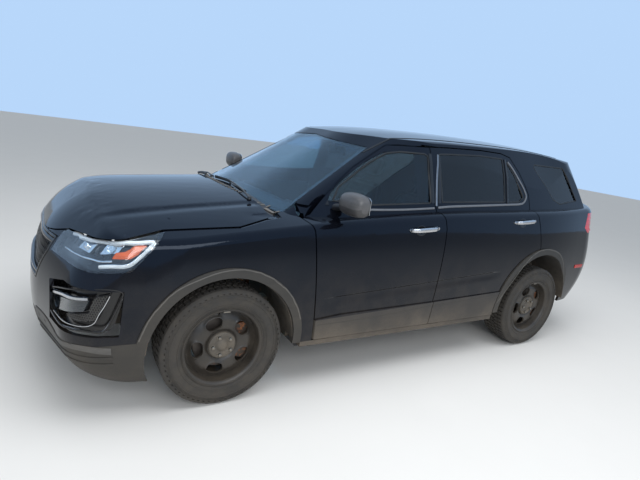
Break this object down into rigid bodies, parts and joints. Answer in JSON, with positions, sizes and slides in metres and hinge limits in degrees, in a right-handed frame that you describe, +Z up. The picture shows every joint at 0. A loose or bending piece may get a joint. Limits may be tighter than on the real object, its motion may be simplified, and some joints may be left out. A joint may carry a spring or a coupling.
{
  "type": "police sport utility vehicle",
  "caption": "Unmarked black mid-size police SUV with opening doors, hood and liftgate, steered front wheels and a hollow cabin.",
  "frame": {"origin": "centre of the vehicle's footprint, on the ground", "axes": "+X forward, +Y to the vehicle's left, +Z up"},
  "size_m": [5.0038, 2.29, 1.7452],
  "materials": {
    "body_paint": "gloss",
    "dark_plastic": "grained",
    "gloss_trim": "gloss",
    "clear_glass": "clear",
    "privacy_glass": "dark",
    "lamp_lens": "clear",
    "red_lens": "clear",
    "tyre_rubber": "dusty",
    "wheel_steel": "satin",
    "chassis_steel": "matt",
    "cast_steel": "rusty",
    "engine_metal": "cast",
    "cabin_plastic": "grained",
    "seat_fabric": "woven",
    "exhaust_steel": "dull",
    "tank_plastic": "satin"
  },
  "bodies": {
    "body": {"left_body_side": "body_paint", "right_body_side": "body_paint", "roof": "body_paint", "left_fender": "body_paint", "right_fender": "body_paint", "front_bumper": "body_paint", "front_valance": "dark_plastic", "grille": "gloss_trim", "headlamps": "lamp_lens", "fog_lamps": "gloss_trim", "windshield": "clear_glass", "cargo_side_glass": "privacy_glass", "rear_bumper": "body_paint", "tail_lamps": "red_lens", "arch_mouldings": "dark_plastic", "wheel_liners": "dark_plastic", "cowl": "dark_plastic", "front_frame": "chassis_steel", "rear_suspension": "cast_steel", "engine": "engine_metal", "driveline": "cast_steel", "exhaust": "exhaust_steel", "fuel_tank": "tank_plastic", "floor_pan": "body_paint", "bulkhead": "chassis_steel", "dashboard": "cabin_plastic", "steering_wheel": "cabin_plastic", "front_seats": "seat_fabric", "rear_bench": "seat_fabric"},
    "front_left_hub": {"left_front_knuckle": "cast_steel"},
    "front_left_wheel_body": {"front_left_wheel": "wheel_steel", "front_left_tyre": "tyre_rubber"},
    "rear_left_wheel_body": {"rear_left_wheel": "wheel_steel", "rear_left_tyre": "tyre_rubber"},
    "front_left_door_body": {"front_left_door": "body_paint", "front_left_door_glass": "clear_glass", "left_mirror": "dark_plastic"},
    "rear_left_door_body": {"rear_left_door": "body_paint", "rear_left_door_glass": "privacy_glass"},
    "front_right_hub": {"right_front_knuckle": "cast_steel"},
    "front_right_wheel_body": {"front_right_wheel": "wheel_steel", "front_right_tyre": "tyre_rubber"},
    "rear_right_wheel_body": {"rear_right_wheel": "wheel_steel", "rear_right_tyre": "tyre_rubber"},
    "front_right_door_body": {"front_right_door": "body_paint", "front_right_door_glass": "clear_glass", "right_mirror": "dark_plastic"},
    "rear_right_door_body": {"rear_right_door": "body_paint", "rear_right_door_glass": "privacy_glass"},
    "hood_body": {"hood": "body_paint"},
    "liftgate_body": {"liftgate": "body_paint", "liftgate_glass": "privacy_glass"}
  },
  "joints": [
    {"name": "left_steering", "type": "hinge", "parent": "body", "child": "front_left_hub", "pos_m": [1.55, 0.8, 0.25], "axis": [0, -0.2552, 0.9669], "range_deg": [-33, 33]},
    {"name": "front_left_wheel_spin", "type": "hinge", "parent": "front_left_hub", "child": "front_left_wheel_body", "pos_m": [1.55, 0.851, 0.363], "axis": [0, 1, 0], "continuous": true},
    {"name": "rear_left_wheel_spin", "type": "hinge", "parent": "body", "child": "rear_left_wheel_body", "pos_m": [-1.31, 0.851, 0.363], "axis": [0, 1, 0], "continuous": true},
    {"name": "front_left_door_hinge", "type": "hinge", "parent": "body", "child": "front_left_door_body", "pos_m": [0.917, 0.955, 0.7], "axis": [0, 0, -1], "range_deg": [0, 65]},
    {"name": "rear_left_door_hinge", "type": "hinge", "parent": "body", "child": "rear_left_door_body", "pos_m": [-0.09, 0.955, 0.7], "axis": [0, 0, -1], "range_deg": [0, 68]},
    {"name": "right_steering", "type": "hinge", "parent": "body", "child": "front_right_hub", "pos_m": [1.55, -0.8, 0.25], "axis": [0, 0.2552, 0.9669], "range_deg": [-33, 33]},
    {"name": "front_right_wheel_spin", "type": "hinge", "parent": "front_right_hub", "child": "front_right_wheel_body", "pos_m": [1.55, -0.851, 0.363], "axis": [0, 1, 0], "continuous": true},
    {"name": "rear_right_wheel_spin", "type": "hinge", "parent": "body", "child": "rear_right_wheel_body", "pos_m": [-1.31, -0.851, 0.363], "axis": [0, 1, 0], "continuous": true},
    {"name": "front_right_door_hinge", "type": "hinge", "parent": "body", "child": "front_right_door_body", "pos_m": [0.917, -0.955, 0.7], "axis": [0, 0, 1], "range_deg": [0, 65]},
    {"name": "rear_right_door_hinge", "type": "hinge", "parent": "body", "child": "rear_right_door_body", "pos_m": [-0.09, -0.955, 0.7], "axis": [0, 0, 1], "range_deg": [0, 68]},
    {"name": "hood_hinge", "type": "hinge", "parent": "body", "child": "hood_body", "pos_m": [1.095, 0, 1.065], "axis": [0, -1, 0], "range_deg": [0, 45]},
    {"name": "liftgate_hinge", "type": "hinge", "parent": "body", "child": "liftgate_body", "pos_m": [-1.884, 0, 1.7], "axis": [0, 1, 0], "range_deg": [0, 80]}
  ],
  "couplings": [
    {"joint": "right_steering", "follows": "left_steering", "ratio": 1}
  ]
}
